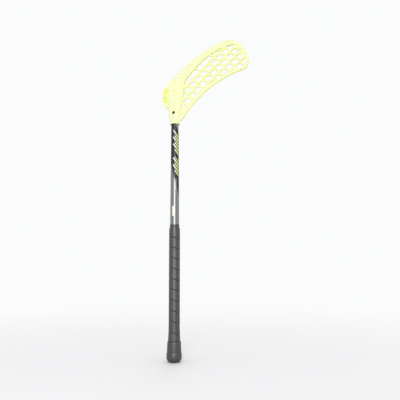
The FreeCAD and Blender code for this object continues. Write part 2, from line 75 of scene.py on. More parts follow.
photo_camera = bpy.data.cameras.new("photo_camera")
photo_camera.sensor_width = SENSOR_IN_MM
photo_camera.lens = LENS_IN_MM
camera = bpy.data.objects.new("photo_camera", photo_camera)
bpy.context.scene.collection.objects.link(camera)
swing = Matrix.Rotation(CAMERA_AZIMUTH, 4, "Z")
tip_up = Matrix.Rotation(math.pi / 2 + CAMERA_LOOKS_UP, 4, "X")
turn = swing @ tip_up
right = turn.col[0].to_3d()
backwards = turn.col[2].to_3d()
stand = Vector((0, 0, AIM_HEIGHT)) + right * AXIS_LEFT_OF_MIDDLE + backwards * CAMERA_DISTANCE
camera.matrix_world = Matrix.Translation(stand) @ turn @ Matrix.Rotation(CAMERA_ROLL, 4, "Z")
bpy.context.scene.camera = camera
print("camera at", [round(value, 3) for value in stand])

# %% [markdown]
# ## Node helpers
#
# Every finish below is a small graph of shader nodes. Wiring each node by hand would hide what
# the graph is for, so a few helpers keep it readable: one adds any node and wires it up, and the
# others are the sums that the finishes share. A share is a number from 0 to 1 that says how much
# of something a place has.


# %% Node helpers
def add_node(tree, kind, inputs, **settings):
    """Adds a node, sets or links its inputs by name or number, and gives back the node."""
    made = tree.nodes.new(kind)
    for setting, value in settings.items():
        setattr(made, setting, value)
    for key, value in inputs.items():
        if isinstance(value, bpy.types.NodeSocket):
            tree.links.new(value, made.inputs[key])
        else:
            made.inputs[key].default_value = value
    return made


def calculate(tree, operation, first, second=0.0):
    """One sum with two numbers."""
    return add_node(tree, "ShaderNodeMath", {0: first, 1: second}, operation=operation).outputs[0]


def all_of(tree, first, *others):
    """The product of several shares: 1 only where all of them are 1."""
    for other in others:
        first = calculate(tree, "MULTIPLY", first, other)
    return first


def any_of(tree, first, *others):
    """The greatest of several shares."""
    for other in others:
        first = calculate(tree, "MAXIMUM", first, other)
    return first


def soft_step(tree, value, edge, softness):
    """0 below an edge and 1 above it, with a soft change between."""
    ends = {"Value": value, "From Min": edge - softness, "From Max": edge + softness}
    return add_node(tree, "ShaderNodeMapRange", ends, interpolation_type="SMOOTHSTEP").outputs[0]


def between(tree, value, low, high, softness):
    """1 between two edges and 0 outside them."""
    above = soft_step(tree, value, low, softness)
    turned_over = calculate(tree, "MULTIPLY", value, -1.0)
    return all_of(tree, above, soft_step(tree, turned_over, -high, softness))


print("node helpers are ready")


# %% Finish helpers
def new_finish(name):
    """A material with its node tree, its main shader and the piece's own coordinates."""
    finish = bpy.data.materials.new(name)
    finish.use_nodes = True
    tree = finish.node_tree
    shader = tree.nodes["Principled BSDF"]
    place = tree.nodes.new("ShaderNodeTexCoord").outputs["Object"]
    return finish, tree, shader, place


def set_sockets(shader, values):
    """Sets what is the same all over a surface on the shader's own sockets."""
    for name, value in values.items():
        shader.inputs[name].default_value = value


def noise(tree, place, scale, detail=2.0):
    """A cloudy pattern from 0 to 1. A greater scale makes it finer."""
    inputs = {"Vector": place, "Scale": scale, "Detail": detail}
    return add_node(tree, "ShaderNodeTexNoise", inputs).outputs["Fac"]


def blend_colours(tree, share, first, second):
    """Mixes two colours by a share. A Mix node's colours have their own socket numbers."""
    share_input, first_input, second_input, colour_result = 0, 6, 7, 2
    inputs = {share_input: share, first_input: first, second_input: second}
    return add_node(tree, "ShaderNodeMix", inputs, data_type="RGBA").outputs[colour_result]


def colour_by(tree, shader, share, first, second):
    """Colours a shader with a mix of two colours."""
    tree.links.new(blend_colours(tree, share, first, second), shader.inputs["Base Color"])


def vary_roughness(tree, shader, pattern, smooth, rough):
    """Lets the roughness follow a pattern that runs from 0 to 1."""
    inputs = {"Value": pattern, "To Min": smooth, "To Max": rough}
    varied = add_node(tree, "ShaderNodeMapRange", inputs)
    tree.links.new(varied.outputs[0], shader.inputs["Roughness"])


def add_bump(tree, shader, height, distance, strength):
    """Gives a shader fine relief from a pattern of heights."""
    inputs = {"Height": height, "Distance": distance, "Strength": strength}
    bump = add_node(tree, "ShaderNodeBump", inputs)
    tree.links.new(bump.outputs["Normal"], shader.inputs["Normal"])


print("finish helpers are ready")

# %% [markdown]
# ## Mesh helpers
#
# The same few steps come back for every piece: select it alone, choose some of its faces or
# edges by a test on their place, apply a modifier, and at the end give the finished mesh its
# material and the CAD body that it rides on, and hide the CAD node that it stands for. An
# operator acts on all that is selected, so a helper that uses one deselects everything first.


# %% Selecting
def nothing_selected():
    """Leaves edit mode and deselects every object."""
    if bpy.context.object and bpy.context.object.mode != "OBJECT":
        bpy.ops.object.mode_set(mode="OBJECT")
    bpy.ops.object.select_all(action="DESELECT")


def pick(piece):
    """Selects one piece alone."""
    nothing_selected()
    piece.select_set(True)
    bpy.context.view_layer.objects.active = piece


def edit_where(piece, kind, wanted):
    """Enters edit mode with only those vertices, edges or faces selected that pass a test."""
    pick(piece)
    bpy.ops.object.mode_set(mode="EDIT")
    bpy.ops.mesh.select_mode(type=kind)
    bpy.ops.mesh.select_all(action="DESELECT")
    bpy.ops.object.mode_set(mode="OBJECT")
    mesh = piece.data
    for item in {"VERT": mesh.vertices, "EDGE": mesh.edges, "FACE": mesh.polygons}[kind]:
        item.select = wanted(item)
    bpy.ops.object.mode_set(mode="EDIT")


def edit_all(piece):
    """Enters edit mode with the whole mesh selected."""
    pick(piece)
    bpy.ops.object.mode_set(mode="EDIT")
    bpy.ops.mesh.select_all(action="SELECT")


print("selecting helpers are ready")


# %% Finishing a piece
def apply_modifier(piece, kind, **settings):
    """Adds a modifier, sets it and applies it to the mesh."""
    pick(piece)
    made = piece.modifiers.new(kind.lower(), kind)
    for setting, value in settings.items():
        setattr(made, setting, value)
    bpy.ops.object.modifier_apply(modifier=made.name)


def smooth_up_to(piece, degrees):
    """Shades a piece smooth, with an edge only where faces meet at more than an angle."""
    pick(piece)
    bpy.ops.object.shade_smooth_by_angle(angle=math.radians(degrees))


def dress(piece, finish, node_name):
    """Gives a finished piece its material and its place in the frame."""
    piece.data.materials.clear()
    piece.data.materials.append(finish)
    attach(piece, "root")
    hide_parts(node_name)
    piece.data.calc_loop_triangles()
    print(piece.name, "has", len(piece.data.loop_triangles), "triangles")


def refinish(node_name, finish):
    """Gives a CAD node that is shown as it is a better material."""
    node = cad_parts[node_name]
    for slot in node.material_slots:
        slot.material = finish
    print(node_name, "is finished in", finish.name)


print("finishing helpers are ready")

# %% [markdown]
# ## Blade plastic
#
# The blade is moulded in a bright neon yellow, a soft and slightly cloudy plastic. Light goes a
# short way into it, so thin bars glow at their edges. The colour is also painted deeper in the
# pockets, as painted shade, and paler on the outer faces, as painted light. One flat yellow would
# lose all of that. A point's distance from the middle of the hooked blade tells an outer face from
# a pocket. The round neck has no pockets and is painted pale all round. A fine grain from the mould
# breaks up the gloss, and a slow drift of colour keeps the large neck from looking flat.

# %% Painted light and shade on the blade's faces
BLADE_RISE = math.radians(38)
HOOK_START = 656.9 * MM
HOOK_RADIUS = 1.0
# Painted light: faces this far off the blade's middle, and the neck, are painted pale; nearer in, painted
# shade.
LIT_FROM_MIDDLE = 2.3 * MM
LIT_NECK_REACH = 21 * MM
LIT_NECK_TOP = 708 * MM
LIT_NECK_FADE = 4 * MM


def lit_face_share(tree, place):
    """Painted light and shade: 1 on the blade's outer faces and round its neck, 0 deep in the pockets."""
    across, depth, height = add_node(tree, "ShaderNodeSeparateXYZ", {0: place}).outputs
    outwards = calculate(tree, "MULTIPLY", across, math.cos(BLADE_RISE))
    above_start = calculate(tree, "SUBTRACT", height, HOOK_START)
    upwards = calculate(tree, "MULTIPLY", above_start, math.sin(BLADE_RISE))
    along = calculate(tree, "MAXIMUM", calculate(tree, "ADD", outwards, upwards), 0.0)
    along_squared = calculate(tree, "MULTIPLY", along, along)
    hooked = calculate(tree, "DIVIDE", along_squared, 2 * HOOK_RADIUS)
    from_middle = calculate(tree, "ABSOLUTE", calculate(tree, "SUBTRACT", depth, hooked))
    ends = {"Value": from_middle, "From Max": LIT_FROM_MIDDLE}
    outer = add_node(tree, "ShaderNodeMapRange", ends).outputs[0]

    from_axis = calculate(tree, "ABSOLUTE", across)
    beside_neck = soft_step(tree, from_axis, LIT_NECK_REACH, LIT_NECK_FADE)
    above_neck = soft_step(tree, height, LIT_NECK_TOP, LIT_NECK_FADE)
    off_neck = any_of(tree, beside_neck, above_neck)
    return any_of(tree, outer, calculate(tree, "SUBTRACT", 1.0, off_neck))


print("the blade's faces are pale from", round(LIT_FROM_MIDDLE / MM, 1), "mm off its middle")

# %% Blade plastic
# The deep yellows are painted shade in the pockets; the pale ones are painted light on the outer faces.
SHADED_POCKET_YELLOW = (0.87, 0.985, 0.20, 1)
LIT_FACE_YELLOW = (0.925, 0.985, 0.60, 1)
SHADED_POCKET_FADED_YELLOW = (0.86, 0.975, 0.26, 1)
LIT_FACE_FADED_YELLOW = (0.915, 0.98, 0.53, 1)
CLOUDY_PLASTIC = {
    "Subsurface Weight": 0.6,
    "Subsurface Radius": (1.0, 1.0, 0.5),
    "Subsurface Scale": 4 * MM,
    "Specular IOR Level": 0.4,
}


def moulded_neon_plastic():
    finish, tree, shader, place = new_finish("moulded_neon_plastic")
    # Painted shade deepens the pockets, and painted light keeps the outer faces and the neck pale.
    outer = lit_face_share(tree, place)
    yellow = blend_colours(tree, outer, SHADED_POCKET_YELLOW, LIT_FACE_YELLOW)
    faded = blend_colours(tree, outer, SHADED_POCKET_FADED_YELLOW, LIT_FACE_FADED_YELLOW)
    colour_by(tree, shader, noise(tree, place, scale=22.0), faded, yellow)
    set_sockets(shader, CLOUDY_PLASTIC)
    grain = noise(tree, place, scale=1600.0, detail=3.0)
    add_bump(tree, shader, grain, distance=0.05 * MM, strength=0.5)
    vary_roughness(tree, shader, noise(tree, place, scale=160.0), smooth=0.28, rough=0.48)
    return finish


blade_finish = moulded_neon_plastic()
print("made", blade_finish.name)

# %% [markdown]
# ## Blade
#
# The CAD blade has the right plan, hook and windows, but crisp edges. A moulded blade has none:
# every bar is round-shouldered and flows into the rim. Rounding hundreds of crossing edges one
# by one would be hopeless, so a copy of the mesh is rebuilt on a fine grid of voxels and relaxed.
# The neck is drawn through a few ovals in CAD, which leaves faint creases, so its outside is
# relaxed for longer. The seat of the screw is left out of that. The mesh is thinned at the end, but
# only if the grid has given it more triangles than a piece should have.

# %% Blade
SAME_POINT = 0.01 * MM
VOXEL = 1.0 * MM
RELAX_SHARE = 0.5
RELAX_STEPS = 6

blade = bpy.data.objects.new("moulded_blade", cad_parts["blade"].data.copy())
bpy.context.scene.collection.objects.link(blade)
edit_all(blade)
bpy.ops.mesh.remove_doubles(threshold=SAME_POINT)
apply_modifier(blade, "REMESH", mode="VOXEL", voxel_size=VOXEL)
apply_modifier(blade, "SMOOTH", factor=RELAX_SHARE, iterations=RELAX_STEPS)
print("blade rebuilt with", len(blade.data.vertices), "points")

# %% Blade neck
NECK_HEIGHTS = (618 * MM, 750 * MM)
NECK_HALF_WIDTH = 27 * MM
NECK_LEAST_DEPTH = 6.3 * MM
BORE_TOP = 670 * MM
BORE_WALL_MIDDLE = 12 * MM
SCREW_SEAT = 8 * MM
NECK_RELAX_STEPS = 40
screw_low, screw_high = (Vector(corner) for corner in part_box("blade_screw"))
screw_middle = (screw_low + screw_high) / 2


def on_neck(place):
    """True on the outside of the neck, clear of its mouth, its bore and its screw."""
    within = NECK_HEIGHTS[0] < place.z < NECK_HEIGHTS[1] and abs(place.x) < NECK_HALF_WIDTH
    outside = place.z > BORE_TOP or place.xy.length > BORE_WALL_MIDDLE
    from_screw = math.hypot(place.x - screw_middle.x, place.z - screw_middle.z)
    return within and outside and abs(place.y) > NECK_LEAST_DEPTH and from_screw > SCREW_SEAT


neck_points = [vertex.index for vertex in blade.data.vertices if on_neck(vertex.co)]
neck = blade.vertex_groups.new(name="neck")
neck.add(neck_points, 1.0, "REPLACE")
apply_modifier(blade, "SMOOTH", factor=RELAX_SHARE, iterations=NECK_RELAX_STEPS, vertex_group="neck")
blade.vertex_groups.clear()
print("neck relaxed at", len(neck_points), "points")

# %% Blade finish
BLADE_TRIANGLES = 180000

blade.data.calc_loop_triangles()
rebuilt_triangles = len(blade.data.loop_triangles)
print("blade rebuilt in", rebuilt_triangles, "triangles")
apply_modifier(blade, "DECIMATE", ratio=min(1.0, BLADE_TRIANGLES / rebuilt_triangles))
pick(blade)
bpy.ops.object.shade_smooth()
dress(blade, blade_finish, "blade")

# %% [markdown]
# ## Screw
#
# One black pan-head screw goes through the socket into the shaft. Its head has a rounded rim and
# a cross recess. A profile could be spun into it, but a short cylinder is quicker: its back face is
# inset and extruded into the shank, its front rim is bevelled, and two crossed bars are cut out of
# it for the recess. The finish is blackened steel with a little wear in its gloss.

# %% Screw finish
BLACK_STEEL = (0.012, 0.012, 0.013, 1)
WORN_STEEL = (0.035, 0.035, 0.036, 1)


def blackened_steel():
    finish, tree, shader, place = new_finish("blackened_steel")
    set_sockets(shader, {"Metallic": 0.6})
    patches = noise(tree, place, scale=900.0)
    colour_by(tree, shader, patches, BLACK_STEEL, WORN_STEEL)
    vary_roughness(tree, shader, patches, smooth=0.3, rough=0.5)
    return finish


screw_finish = blackened_steel()
print("made", screw_finish.name)

# %% Screw head and shank
QUARTER_TURN = math.pi / 2
FACING = 0.9
HEAD_RADIUS = (screw_high.x - screw_low.x) / 2
HEAD_HEIGHT = 2.6 * MM
SHANK_RADIUS = 1.7 * MM
POINT_SHARE = 0.1
straight_shank = screw_high.y - screw_low.y - HEAD_HEIGHT - SHANK_RADIUS

nothing_selected()
bpy.ops.mesh.primitive_cylinder_add(
    vertices=48,
    radius=HEAD_RADIUS,
    depth=HEAD_HEIGHT,
    rotation=(QUARTER_TURN, 0, 0),
    location=(screw_middle.x, screw_low.y + HEAD_HEIGHT / 2, screw_middle.z),
)
screw = bpy.context.object
screw.name = "pan_head_screw"
bpy.ops.object.transform_apply(location=True, rotation=True, scale=True)
edit_where(screw, "FACE", lambda face: face.normal.y > FACING)
bpy.ops.mesh.inset(thickness=HEAD_RADIUS - SHANK_RADIUS)
bpy.ops.mesh.extrude_region_move(TRANSFORM_OT_translate={"value": (0, straight_shank, 0)})
bpy.ops.mesh.extrude_region_move(TRANSFORM_OT_translate={"value": (0, SHANK_RADIUS, 0)})
bpy.ops.transform.resize(value=(POINT_SHARE, 1, POINT_SHARE))
bpy.ops.object.mode_set(mode="OBJECT")
print("screw head", round(2 * HEAD_RADIUS / MM, 1), "mm across, shank", round(straight_shank / MM, 1), "mm")

# %% Screw rim
RIM_ROUNDING = 1.3 * MM
RIM_STEPS = 4
ON_FRONT = 0.1 * MM

rim = screw.data.attributes.new("bevel_weight_edge", "FLOAT", "EDGE")
for edge in screw.data.edges:
    ends = [screw.data.vertices[index].co for index in edge.vertices]
    if all(end.y < screw_low.y + ON_FRONT for end in ends):
        rim.data[edge.index].value = 1.0
apply_modifier(screw, "BEVEL", limit_method="WEIGHT", width=RIM_ROUNDING, segments=RIM_STEPS)
print("screw rim rounded by", round(RIM_ROUNDING / MM, 1), "mm")

# %% Screw recess
RECESS_WIDTH = 0.9 * MM
RECESS_REACH = 2.1 * MM
RECESS_DEPTH = 1.3 * MM

for turn_about in (0, QUARTER_TURN):
    nothing_selected()
    bpy.ops.mesh.primitive_cube_add(size=1, location=(screw_middle.x, screw_low.y, screw_middle.z))
    bar = bpy.context.object
    bar.scale = (RECESS_WIDTH, 2 * RECESS_DEPTH, 2 * RECESS_REACH)
    bar.rotation_euler = (0, turn_about, 0)
    bpy.ops.object.transform_apply(location=False, rotation=True, scale=True)
    apply_modifier(screw, "BOOLEAN", operation="DIFFERENCE", solver="EXACT", object=bar)
    bpy.data.objects.remove(bar)
smooth_up_to(screw, degrees=35)
dress(screw, screw_finish, "blade_screw")

# %% [markdown]
# ## Shaft lacquer
#
# The composite tube is metallic silver grey at the grip and black towards the blade, under clear
# gloss lacquer. The black ends in a slant at both ends. Slanted dashes, white to neon, run up the
# printed side, with a row of small ticks and a plain pale plate below them. All of it is print, so
# it is colour and gloss alone. It could be a picture wrapped round the tube, but nodes stay sharp
# at any distance and need no file: the tube's own coordinates give a height and a distance round
# it, and each mark is a share of both.

# %% Shaft places
TUBE_RADIUS = 10.6 * MM
PRINT_FACES = CAMERA_AZIMUTH


def tube_places(tree, place):
    """The angle round the tube, from the middle of its printed side, and the height on it."""
    inputs = {"Vector": place, "Rotation": (0, 0, -PRINT_FACES)}
    turned = add_node(tree, "ShaderNodeMapping", inputs).outputs[0]
    sideways, depth, height = add_node(tree, "ShaderNodeSeparateXYZ", {0: turned}).outputs
    towards = calculate(tree, "MULTIPLY", depth, -1.0)
    return calculate(tree, "ARCTAN2", sideways, towards), height


print("the print faces", round(math.degrees(PRINT_FACES)), "degrees to the right")

# %% Shaft silver and black
DARK_SILVER = (0.17, 0.175, 0.18, 1)
LIGHT_SILVER = (0.27, 0.275, 0.28, 1)
SHAFT_BLACK = (0.010, 0.011, 0.011, 1)
FIBRE_STRETCH = (900, 900, 14)
SWEEP_HEIGHT = 460 * MM
SWEEP_RISE = 46 * MM
SOCKET_SWEEP_HEIGHT = 615 * MM
SOCKET_SWEEP_RISE = 28 * MM
SWEEP_EDGE = 1.5 * MM


def silver_and_black(tree, place, angle, height):
    """The colour of the tube without its marks, and the share of black in it."""
    streaks = add_node(tree, "ShaderNodeMapping", {"Vector": place, "Scale": FIBRE_STRETCH})
    fibres = noise(tree, streaks.outputs[0], scale=1.0, detail=3.0)
    silver = blend_colours(tree, fibres, DARK_SILVER, LIGHT_SILVER)

    def above_slant(middle, rise):
        slant = calculate(tree, "MULTIPLY", calculate(tree, "SINE", angle), rise)
        return soft_step(tree, calculate(tree, "ADD", height, slant), middle, SWEEP_EDGE)

    black_from = above_slant(SWEEP_HEIGHT, SWEEP_RISE)
    silver_again = above_slant(SOCKET_SWEEP_HEIGHT, SOCKET_SWEEP_RISE)
    black_share = calculate(tree, "SUBTRACT", black_from, silver_again)
    return blend_colours(tree, black_share, silver, SHAFT_BLACK), black_share


print("black runs from", round(SWEEP_HEIGHT / MM), "to", round(SOCKET_SWEEP_HEIGHT / MM), "mm up")

# %% Shaft dashes
PRINT_EDGE = 0.25 * MM
DASH_SLANT = 1.3
DASH_PITCH = 9.4 * MM
DASH_IN_PITCH = (0.2, 0.72)
DASH_SOFTNESS = 0.04
DASH_SIDES = (-4.0 * MM, 10.5 * MM)
SHORT_DASH_SHIFT = 4.5 * MM
DASH_GROUPS = ((534 * MM, 592 * MM), (478 * MM, 522 * MM))


def slanted_dashes(tree, round_tube, slanted):
    """The share of a place that two groups of slanted dashes cover, long and short in turn."""
    number = calculate(tree, "DIVIDE", slanted, DASH_PITCH)
    in_dash = between(tree, calculate(tree, "FRACT", number), *DASH_IN_PITCH, DASH_SOFTNESS)
    short = calculate(tree, "MODULO", calculate(tree, "FLOOR", number), 2.0)
    shift = calculate(tree, "MULTIPLY", short, SHORT_DASH_SHIFT)
    left_end = calculate(tree, "ADD", shift, DASH_SIDES[0])
    after_left_end = soft_step(tree, calculate(tree, "SUBTRACT", round_tube, left_end), 0.0, PRINT_EDGE)
    before_right_end = calculate(tree, "LESS_THAN", round_tube, DASH_SIDES[1])
    groups = [between(tree, slanted, low, high, PRINT_EDGE) for low, high in DASH_GROUPS]
    return all_of(tree, in_dash, after_left_end, before_right_end, any_of(tree, *groups))


print("dashes stand every", round(DASH_PITCH / MM, 1), "mm in", len(DASH_GROUPS), "groups")

# %% Shaft ticks and plate
TICK_PITCH = 3.6 * MM
TICK_IN_PITCH = (0.25, 0.7)
TICK_SOFTNESS = 0.08
TICK_SIDES = (2.2 * MM, 4.6 * MM)
TICK_SPAN = (436 * MM, 466 * MM)
PLATE_HEIGHTS = (363 * MM, 389 * MM)
PLATE_SIDES = (-5.4 * MM, -0.4 * MM)


def small_ticks(tree, round_tube, slanted):
    """The share of a place that the row of ticks covers."""
    number = calculate(tree, "DIVIDE", slanted, TICK_PITCH)
    in_tick = between(tree, calculate(tree, "FRACT", number), *TICK_IN_PITCH, TICK_SOFTNESS)
    in_row = between(tree, round_tube, *TICK_SIDES, PRINT_EDGE)
    return all_of(tree, in_tick, in_row, between(tree, slanted, *TICK_SPAN, PRINT_EDGE))


def plain_plate(tree, round_tube, height):
    """The share of a place that the plate covers."""
    in_width = between(tree, round_tube, *PLATE_SIDES, PRINT_EDGE)
    return all_of(tree, in_width, between(tree, height, *PLATE_HEIGHTS, PRINT_EDGE))


print("the plate is", round((PLATE_HEIGHTS[1] - PLATE_HEIGHTS[0]) / MM), "mm high")

# %% Shaft lacquer
DASH_WHITE = (0.90, 0.93, 0.80, 1)
DASH_NEON = (0.80, 0.92, 0.30, 1)
NEON_FROM = 1.0 * MM
NEON_CHANGE = 3.0 * MM
TICK_WHITE = (0.88, 0.89, 0.88, 1)
PLATE_CREAM = (0.88, 0.92, 0.66, 1)
CLEAR_LACQUER = {"Specular IOR Level": 0.2, "Coat Weight": 0.5, "Coat Roughness": 0.08}


def lacquered_print():
    finish, tree, shader, place = new_finish("lacquered_print")
    angle, height = tube_places(tree, place)
    round_tube = calculate(tree, "MULTIPLY", angle, TUBE_RADIUS)
    slant = calculate(tree, "MULTIPLY", round_tube, DASH_SLANT)
    slanted = calculate(tree, "ADD", height, slant)

    colour, black_share = silver_and_black(tree, place, angle, height)
    dashes = slanted_dashes(tree, round_tube, slanted)
    neon_share = soft_step(tree, round_tube, NEON_FROM, NEON_CHANGE)
    dash_colour = blend_colours(tree, neon_share, DASH_WHITE, DASH_NEON)
    colour = blend_colours(tree, dashes, colour, dash_colour)
    ticks = small_ticks(tree, round_tube, slanted)
    colour = blend_colours(tree, ticks, colour, TICK_WHITE)
    plate = plain_plate(tree, round_tube, height)
    colour_by(tree, shader, plate, colour, PLATE_CREAM)

    covered = any_of(tree, black_share, dashes, ticks, plate)
    tree.links.new(calculate(tree, "SUBTRACT", 1.0, covered), shader.inputs["Metallic"])
    set_sockets(shader, CLEAR_LACQUER)
    vary_roughness(tree, shader, noise(tree, place, scale=70.0), smooth=0.19, rough=0.29)
    return finish


refinish("shaft_tube", lacquered_print())

# %% [markdown]
# ## Finishing tape
#
# A short band of stretchy vinyl tape holds down the upper end of the grip. It is a plain ring in
# CAD, and that shape is right, so it only needs its finish: dark, smooth, with faint stretch
# lines that run round it and one crease, where the edge of the grip below shows through. Both are
# too shallow to model, so they are relief in the material.

# %% Finishing tape
VINYL_BLACK = (0.007, 0.007, 0.008, 1)
VINYL_STRETCHED = (0.016, 0.016, 0.017, 1)
STRETCH_LINES = (40, 40, 1400)
STRETCH_SHARE = 0.1
CREASE_HEIGHTS = (335 * MM, 337 * MM)
CREASE_EDGE = 0.6 * MM


def stretched_vinyl():
    finish, tree, shader, place = new_finish("stretched_vinyl")
    set_sockets(shader, {"Specular IOR Level": 1.0})
    rings = add_node(tree, "ShaderNodeMapping", {"Vector": place, "Scale": STRETCH_LINES})
    stretch = noise(tree, rings.outputs[0], scale=1.0, detail=3.0)
    colour_by(tree, shader, stretch, VINYL_BLACK, VINYL_STRETCHED)
    height = add_node(tree, "ShaderNodeSeparateXYZ", {0: place}).outputs[2]
    crease = between(tree, height, *CREASE_HEIGHTS, CREASE_EDGE)
    lines = calculate(tree, "MULTIPLY", stretch, STRETCH_SHARE)
    relief = calculate(tree, "SUBTRACT", lines, crease)
    add_bump(tree, shader, relief, distance=0.5 * MM, strength=0.7)
    vary_roughness(tree, shader, stretch, smooth=0.16, rough=0.28)
    return finish


refinish("finishing_tape", stretched_vinyl())

# %% [markdown]
# ## Grip
#
# The grip is one strip of cushioned tape wound up the shaft, so its surface is a helix of soft
# turns with a narrow valley where each turn meets the next. Relief on a plain sleeve would leave
# its outline straight, so the strip is really wound: one turn's edge line, a shallow cushion, is
# drawn beside the shaft and a Screw modifier winds it. The winding is left-handed: on the side
# towards the reader the valley falls to the right. Both ends are then cut off level, and a lattice
# flares the lower end, where the tape runs up to the cap, and draws in the upper edge. The tape is
# dark and grained, and pressed smoother at its upper end.

# %% Grip tape finish
TAPE_DARK = (0.010, 0.010, 0.011, 1)
TAPE_LIGHT = (0.022, 0.022, 0.023, 1)
PRESSED_FROM = 319 * MM
PRESSED_CHANGE = 3 * MM


def cushioned_tape():
    finish, tree, shader, place = new_finish("cushioned_tape")
    colour_by(tree, shader, noise(tree, place, scale=60.0), TAPE_DARK, TAPE_LIGHT)
    cells = {"Vector": place, "Scale": 900.0, "Randomness": 0.7}
    grain = add_node(tree, "ShaderNodeTexVoronoi", cells).outputs["Distance"]
    add_bump(tree, shader, grain, distance=0.12 * MM, strength=0.4)
    set_sockets(shader, {"Specular IOR Level": 1.0})
    height = add_node(tree, "ShaderNodeSeparateXYZ", {0: place}).outputs[2]
    pressed = soft_step(tree, height, PRESSED_FROM, PRESSED_CHANGE)
    worn = calculate(tree, "SUBTRACT", noise(tree, place, scale=90.0), pressed)
    vary_roughness(tree, shader, worn, smooth=0.37, rough=0.47)
    return finish


grip_finish = cushioned_tape()
print("made", grip_finish.name)

# %% Grip strip
GRIP_PITCH = 26.3 * MM
GRIP_SEAM_HEIGHT = 65.55 * MM
GRIP_RADIUS = 14.0 * MM
SEAM_DEPTH = 1.2 * MM
SEAM_ROUNDING = 1.2 * MM
STRIP_LEAN = 0.3 * MM
STRIP_POINTS = 28
STEPS_PER_TURN = 96
SPARE_TURNS = 2
FULL_TURN = 2 * math.pi
grip_low, grip_high = (Vector(corner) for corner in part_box("grip_tape"))
turns = math.ceil((grip_high.z - grip_low.z) / GRIP_PITCH) + SPARE_TURNS
first_seam = GRIP_SEAM_HEIGHT - SPARE_TURNS * GRIP_PITCH

nothing_selected()
bpy.ops.mesh.primitive_grid_add(x_subdivisions=STRIP_POINTS, y_subdivisions=1, size=1)
grip = bpy.context.object
grip.name = "wound_grip"
edit_where(grip, "VERT", lambda vertex: vertex.co.y > 0)
bpy.ops.mesh.delete(type="VERT")
bpy.ops.object.mode_set(mode="OBJECT")
for vertex in grip.data.vertices:
    share = vertex.co.x + 0.5
    to_edge = min(1.0, min(share, 1 - share) * GRIP_PITCH / SEAM_ROUNDING)
    crown = math.sqrt(1 - (1 - to_edge) ** 2)
    radius = GRIP_RADIUS - SEAM_DEPTH + crown * (SEAM_DEPTH + STRIP_LEAN * (1 - share))
    vertex.co = (radius, 0, first_seam + share * GRIP_PITCH)
apply_modifier(grip, "SCREW", axis="Z", angle=-FULL_TURN, screw_offset=GRIP_PITCH, iterations=turns,
               steps=STEPS_PER_TURN, render_steps=STEPS_PER_TURN)
print("grip wound in", turns, "turns")


# %% Grip ends
def cut_level(piece, height, upward):
    """Cuts a piece off level and throws away what is above or below the cut."""
    edit_all(piece)
    bpy.ops.mesh.bisect(plane_co=(0, 0, height), plane_no=(0, 0, 1),
                        clear_outer=upward, clear_inner=not upward)
    bpy.ops.object.mode_set(mode="OBJECT")


edit_all(grip)
bpy.ops.mesh.remove_doubles(threshold=SAME_POINT)
cut_level(grip, grip_high.z, True)
cut_level(grip, grip_low.z, False)
print("grip cut level at", round(grip_low.z / MM, 1), "and", round(grip_high.z / MM, 1), "mm")

# %% Grip flare
FLARE_HEIGHT = 30 * MM
FLARE_RADIUS = (grip_high.x - grip_low.x) / 2
TOP_ROUNDING = 3 * MM
TOP_DRAWN_IN = 0.5 * MM
CAGE_LEVELS = 57
CAGE_WIDTH = 4 * GRIP_RADIUS


def sleeve_radius(height):
    """The outside of the wound sleeve: straight, flared at the cap and drawn in at the top."""
    flare = max(0.0, 1 - (height - grip_low.z) / FLARE_HEIGHT)
    top = max(0.0, 1 - (grip_high.z - height) / TOP_ROUNDING)
    return GRIP_RADIUS + flare * (FLARE_RADIUS - GRIP_RADIUS) - TOP_DRAWN_IN * top ** 2


cage_data = bpy.data.lattices.new("grip_cage")
cage = bpy.data.objects.new("grip_cage", cage_data)
bpy.context.scene.collection.objects.link(cage)
cage_data.points_w = CAGE_LEVELS
for direction in ("interpolation_type_u", "interpolation_type_v", "interpolation_type_w"):
    setattr(cage_data, direction, "KEY_LINEAR")
cage.location = (grip_low + grip_high) / 2
cage.scale = (CAGE_WIDTH, CAGE_WIDTH, grip_high.z - grip_low.z)
bpy.context.view_layer.update()
for point in cage_data.points:
    wanted = sleeve_radius(cage.location.z + point.co.z * cage.scale.z) / GRIP_RADIUS
    point.co_deform = (point.co.x * wanted, point.co.y * wanted, point.co.z)
apply_modifier(grip, "LATTICE", object=cage)
bpy.data.objects.remove(cage)
for vertex in grip.data.vertices:
    vertex.co.z = min(max(vertex.co.z, grip_low.z), grip_high.z)
print("grip flared to", round(2 * FLARE_RADIUS / MM, 1), "mm across")

# %% Grip end faces
GRIP_BORE = 12.1 * MM

pick(grip)
bpy.ops.object.mode_set(mode="EDIT")
bpy.ops.mesh.select_mode(type="EDGE")
bpy.ops.mesh.select_all(action="DESELECT")
bpy.ops.mesh.select_non_manifold()
bpy.ops.mesh.extrude_edges_move()
bpy.ops.object.mode_set(mode="OBJECT")
for vertex in grip.data.vertices:
    if vertex.select:
        inward = GRIP_BORE / math.hypot(vertex.co.x, vertex.co.y)
        vertex.co = (vertex.co.x * inward, vertex.co.y * inward, vertex.co.z)
bpy.ops.object.mode_set(mode="EDIT")
bpy.ops.mesh.bridge_edge_loops()
bpy.ops.mesh.select_all(action="SELECT")
bpy.ops.mesh.normals_make_consistent(inside=False)
smooth_up_to(grip, degrees=60)
dress(grip, grip_finish, "grip_tape")

# %% [markdown]
# ## Butt cap
#
# The rubber cap is a cup with a rounded foot, a shallow groove above it and a tapered collar whose
# lip draws in where the tape runs up to it. A profile could be spun, but here one cylinder is
# enough: its top is extruded and scaled stage by stage, at last downwards into the bore that holds
# the shaft. Then the foot's two rings of edges and the collar's upper one get the rounding of the
# real moulding. The black rubber has a soft gloss, a fine grain and a trace of dust.

# %% Butt cap finish
RUBBER_BLACK = (0.010, 0.010, 0.011, 1)
RUBBER_DUSTY = (0.022, 0.022, 0.023, 1)


